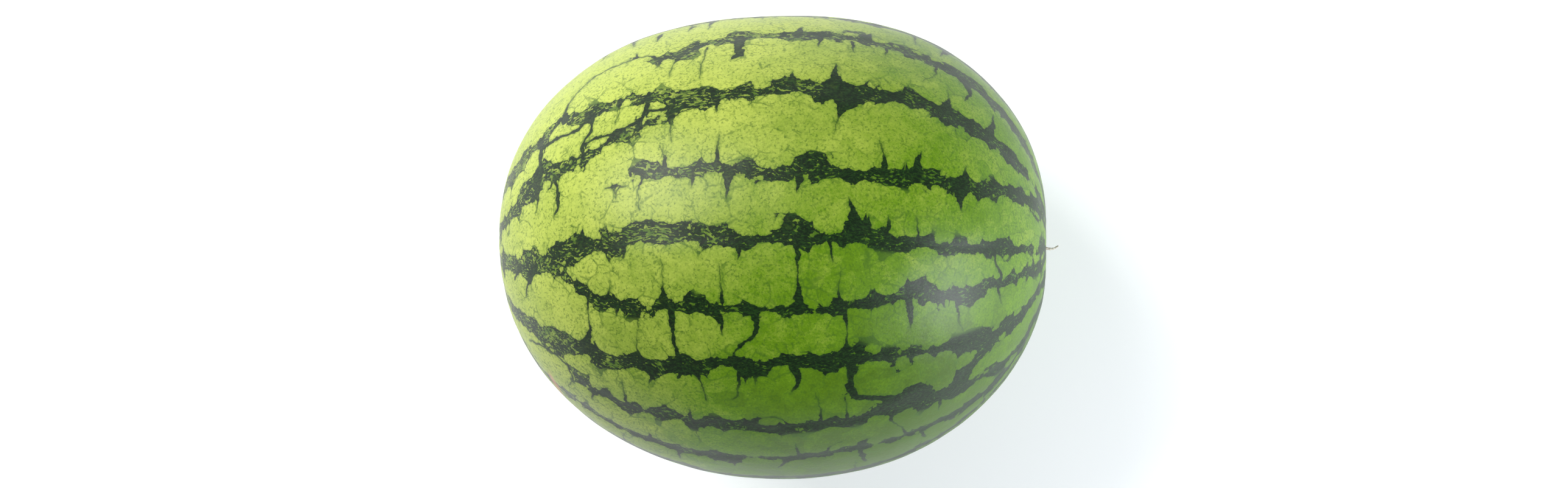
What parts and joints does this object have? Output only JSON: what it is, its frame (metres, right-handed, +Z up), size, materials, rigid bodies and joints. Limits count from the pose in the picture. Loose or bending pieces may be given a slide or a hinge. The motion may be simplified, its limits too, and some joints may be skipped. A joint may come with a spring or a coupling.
{
  "type": "watermelon",
  "caption": "Whole oval watermelon lying on its side, its round body flattened slightly underneath, with a short dried stalk at one end.",
  "frame": {"origin": "under the middle of the part, in the plane of the flat spot that it rests on", "axes": "+Z up; +X along the fruit, from its blossom end to its stalk end; +Y across it"},
  "size_m": [0.2746, 0.228, 0.2234],
  "materials": {
    "rind": "waxy skin, light yellow-green with dark green netted stripes from end to end",
    "dried_stalk": "dry, matt, grey-brown and lightly ridged"
  },
  "bodies": {
    "root": {"fruit": "rind", "stalk": "dried_stalk"}
  },
  "joints": []
}
